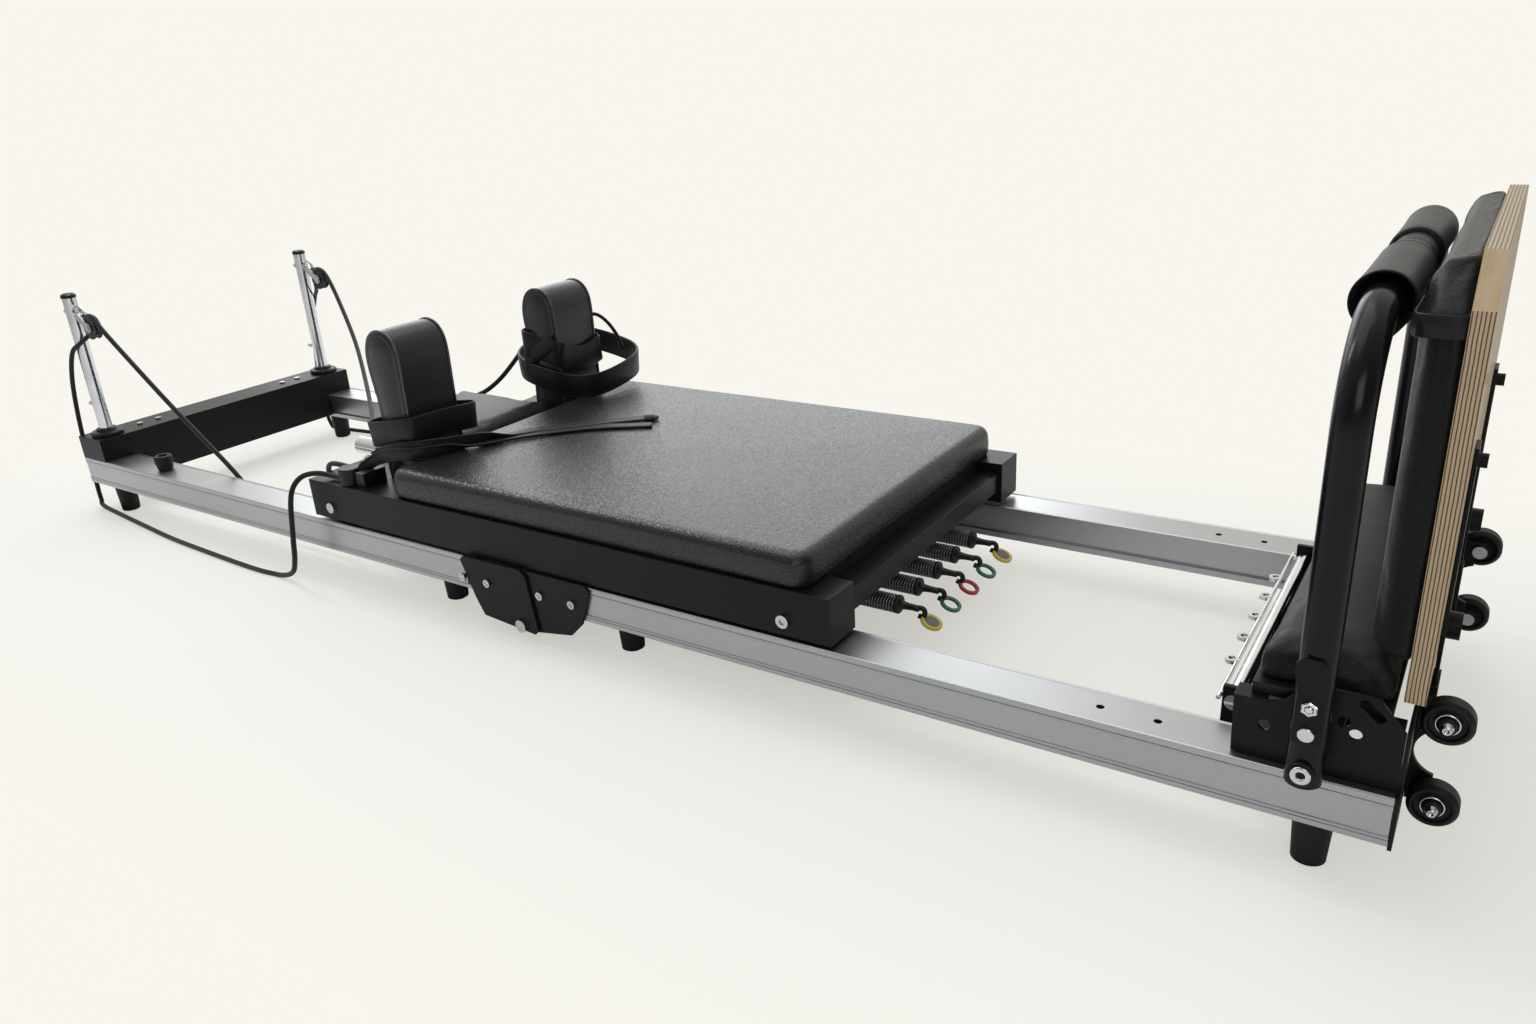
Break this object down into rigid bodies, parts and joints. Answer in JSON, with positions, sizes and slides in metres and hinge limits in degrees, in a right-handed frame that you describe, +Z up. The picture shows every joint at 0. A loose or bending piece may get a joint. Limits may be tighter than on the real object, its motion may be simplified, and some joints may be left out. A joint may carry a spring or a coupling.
{
  "type": "folding pilates reformer",
  "caption": "Folding pilates reformer with a padded rolling carriage, shoulder rests, footbar, jumpboard, coloured springs and rope pulleys on chrome posts.",
  "frame": {"origin": "on the floor, under the middle of the machine's length and width", "axes": "+X towards the foot end with the footbar and jumpboard, +Y to the side away from the camera, +Z up"},
  "size_m": [2.4692, 0.6848, 0.612],
  "materials": {
    "rail_aluminium": "satin anodised extrusion",
    "black_coated_steel": "black powder coat, fine texture",
    "chrome": "polished chrome plate",
    "zinc_steel": "bright zinc plate",
    "black_vinyl": "black upholstery vinyl, fine grain",
    "black_foam": "closed-cell foam grip",
    "black_rubber": "moulded rubber",
    "black_plastic": "moulded, lightly textured",
    "grey_plastic": "turned nylon",
    "birch_plywood": "clear-lacquered birch plywood",
    "dark_spring_steel": "blackened spring wire",
    "yellow_plastic": "moulded",
    "green_plastic": "moulded",
    "red_plastic": "moulded",
    "black_rope": "braided polyester cord",
    "black_webbing": "woven webbing, padded"
  },
  "bodies": {
    "foot_frame": {"foot_rails": "rail_aluminium", "foot_cross_members": "black_coated_steel", "rear_panel": "black_coated_steel", "footbar_brackets": "black_coated_steel", "foot_hinge_plates": "black_coated_steel", "foot_end_feet": "black_rubber", "spring_bar": "chrome", "platform_board": "black_plastic", "platform_pad": "black_vinyl", "wheel_brackets": "black_coated_steel", "foot_frame_bolts": "zinc_steel"},
    "head_frame": {"head_rails": "rail_aluminium", "head_cross_members": "black_coated_steel", "head_hinge_plates": "black_coated_steel", "head_end_feet": "black_rubber", "rope_posts": "chrome", "post_collars": "black_plastic", "post_hardware": "chrome", "head_stops": "black_rubber", "head_frame_bolts": "zinc_steel", "pulley_blocks": "zinc_steel"},
    "sheave_near_body": {"sheave_near": "black_plastic"},
    "sheave_far_body": {"sheave_far": "black_plastic"},
    "carriage": {"carriage_beams": "black_coated_steel", "carriage_cross_members": "black_coated_steel", "carriage_board": "birch_plywood", "carriage_pad": "black_vinyl", "shoulder_rests": "black_vinyl", "springs": "dark_spring_steel", "spring_pulls_yellow": "yellow_plastic", "spring_pulls_green": "green_plastic", "spring_pull_red": "red_plastic", "carriage_bolts": "zinc_steel", "rope_cleats": "black_plastic", "rope_near": "black_rope", "rope_far": "black_rope", "hand_straps": "black_webbing"},
    "headrest": {"headrest_board": "black_plastic", "headrest_pad": "black_vinyl", "headrest_prop": "chrome"},
    "footbar": {"footbar_tube": "black_coated_steel", "footbar_sleeves": "black_foam"},
    "latch_near": {"footbar_latch_near": "black_coated_steel"},
    "latch_far": {"footbar_latch_far": "black_coated_steel"},
    "jumpboard": {"jumpboard_panel": "birch_plywood", "jumpboard_pad": "black_vinyl", "jumpboard_uprights": "black_coated_steel", "tie_strap": "black_webbing"},
    "carriage_wheel_head_near_body": {"carriage_wheel_head_near": "grey_plastic"},
    "carriage_wheel_head_far_body": {"carriage_wheel_head_far": "grey_plastic"},
    "carriage_wheel_foot_near_body": {"carriage_wheel_foot_near": "grey_plastic"},
    "carriage_wheel_foot_far_body": {"carriage_wheel_foot_far": "grey_plastic"},
    "guide_roller_head_near_body": {"guide_roller_head_near": "grey_plastic"},
    "guide_roller_head_far_body": {"guide_roller_head_far": "grey_plastic"},
    "guide_roller_foot_near_body": {"guide_roller_foot_near": "grey_plastic"},
    "guide_roller_foot_far_body": {"guide_roller_foot_far": "grey_plastic"},
    "transport_wheel_upper_near_body": {"transport_wheel_upper_near": "black_rubber"},
    "transport_wheel_lower_near_body": {"transport_wheel_lower_near": "black_rubber"},
    "transport_wheel_upper_far_body": {"transport_wheel_upper_far": "black_rubber"},
    "transport_wheel_lower_far_body": {"transport_wheel_lower_far": "black_rubber"}
  },
  "joints": [
    {"name": "frame_fold", "type": "hinge", "parent": "foot_frame", "child": "head_frame", "pos_m": [0.0275, 0, 0.029], "axis": [0, -1, 0], "range_deg": [0, 180], "deforming": ["rope_near", "rope_far"]},
    {"name": "carriage_slide", "type": "slide", "parent": "head_frame", "child": "carriage", "axis": [1, 0, 0], "range_m": [-0.5, 0.3], "deforming": ["rope_near", "rope_far"]},
    {"name": "headrest_tilt", "type": "hinge", "parent": "carriage", "child": "headrest", "pos_m": [-0.2705, 0, 0.19], "axis": [0, 1, 0], "range_deg": [0, 30]},
    {"name": "sheave_near_spin", "type": "hinge", "parent": "head_frame", "child": "sheave_near_body", "pos_m": [-1.1185, -0.26, 0.387], "axis": [0, 1, 0], "continuous": true},
    {"name": "sheave_far_spin", "type": "hinge", "parent": "head_frame", "child": "sheave_far_body", "pos_m": [-1.1185, 0.26, 0.387], "axis": [0, 1, 0], "continuous": true},
    {"name": "carriage_wheel_head_near_spin", "type": "hinge", "parent": "carriage", "child": "carriage_wheel_head_near_body", "pos_m": [-0.4045, -0.265, 0.1421], "axis": [0, 1, 0], "continuous": true},
    {"name": "guide_roller_head_near_spin", "type": "hinge", "parent": "carriage", "child": "guide_roller_head_near_body", "pos_m": [-0.3785, -0.2167, 0.105], "axis": [0, 0, 1], "continuous": true},
    {"name": "carriage_wheel_head_far_spin", "type": "hinge", "parent": "carriage", "child": "carriage_wheel_head_far_body", "pos_m": [-0.4045, 0.265, 0.1421], "axis": [0, 1, 0], "continuous": true},
    {"name": "guide_roller_head_far_spin", "type": "hinge", "parent": "carriage", "child": "guide_roller_head_far_body", "pos_m": [-0.3785, 0.2167, 0.105], "axis": [0, 0, 1], "continuous": true},
    {"name": "carriage_wheel_foot_near_spin", "type": "hinge", "parent": "carriage", "child": "carriage_wheel_foot_near_body", "pos_m": [0.4935, -0.265, 0.1421], "axis": [0, 1, 0], "continuous": true},
    {"name": "guide_roller_foot_near_spin", "type": "hinge", "parent": "carriage", "child": "guide_roller_foot_near_body", "pos_m": [0.4675, -0.2167, 0.105], "axis": [0, 0, 1], "continuous": true},
    {"name": "carriage_wheel_foot_far_spin", "type": "hinge", "parent": "carriage", "child": "carriage_wheel_foot_far_body", "pos_m": [0.4935, 0.265, 0.1421], "axis": [0, 1, 0], "continuous": true},
    {"name": "guide_roller_foot_far_spin", "type": "hinge", "parent": "carriage", "child": "guide_roller_foot_far_body", "pos_m": [0.4675, 0.2167, 0.105], "axis": [0, 0, 1], "continuous": true},
    {"name": "footbar_fold", "type": "hinge", "parent": "foot_frame", "child": "footbar", "pos_m": [1.0955, 0, 0.138], "axis": [0, -1, 0], "range_deg": [0, 71]},
    {"name": "footbar_latch_near_pull", "type": "slide", "parent": "footbar", "child": "latch_near", "axis": [0, -1, 0], "range_m": [0, 0.008], "stiffness_N_per_m": 600},
    {"name": "footbar_latch_far_pull", "type": "slide", "parent": "footbar", "child": "latch_far", "axis": [0, 1, 0], "range_m": [0, 0.008], "stiffness_N_per_m": 600},
    {"name": "jumpboard_lift", "type": "slide", "parent": "foot_frame", "child": "jumpboard", "axis": [0, 0, 1], "range_m": [0, 0.06]},
    {"name": "transport_wheel_upper_near_spin", "type": "hinge", "parent": "foot_frame", "child": "transport_wheel_upper_near_body", "pos_m": [1.2035, -0.227, 0.172], "axis": [0, 1, 0], "continuous": true},
    {"name": "transport_wheel_upper_far_spin", "type": "hinge", "parent": "foot_frame", "child": "transport_wheel_upper_far_body", "pos_m": [1.2035, 0.227, 0.172], "axis": [0, 1, 0], "continuous": true},
    {"name": "transport_wheel_lower_near_spin", "type": "hinge", "parent": "foot_frame", "child": "transport_wheel_lower_near_body", "pos_m": [1.2035, -0.227, 0.079], "axis": [0, 1, 0], "continuous": true},
    {"name": "transport_wheel_lower_far_spin", "type": "hinge", "parent": "foot_frame", "child": "transport_wheel_lower_far_body", "pos_m": [1.2035, 0.227, 0.079], "axis": [0, 1, 0], "continuous": true}
  ],
  "couplings": [
    {"joint": "carriage_wheel_head_near_spin", "follows": "carriage_slide", "rad_per_m": 37.037},
    {"joint": "guide_roller_head_near_spin", "follows": "carriage_slide", "rad_per_m": -66.667},
    {"joint": "carriage_wheel_head_far_spin", "follows": "carriage_slide", "rad_per_m": 37.037},
    {"joint": "guide_roller_head_far_spin", "follows": "carriage_slide", "rad_per_m": 66.667},
    {"joint": "carriage_wheel_foot_near_spin", "follows": "carriage_slide", "rad_per_m": 37.037},
    {"joint": "guide_roller_foot_near_spin", "follows": "carriage_slide", "rad_per_m": -66.667},
    {"joint": "carriage_wheel_foot_far_spin", "follows": "carriage_slide", "rad_per_m": 37.037},
    {"joint": "guide_roller_foot_far_spin", "follows": "carriage_slide", "rad_per_m": 66.667}
  ]
}
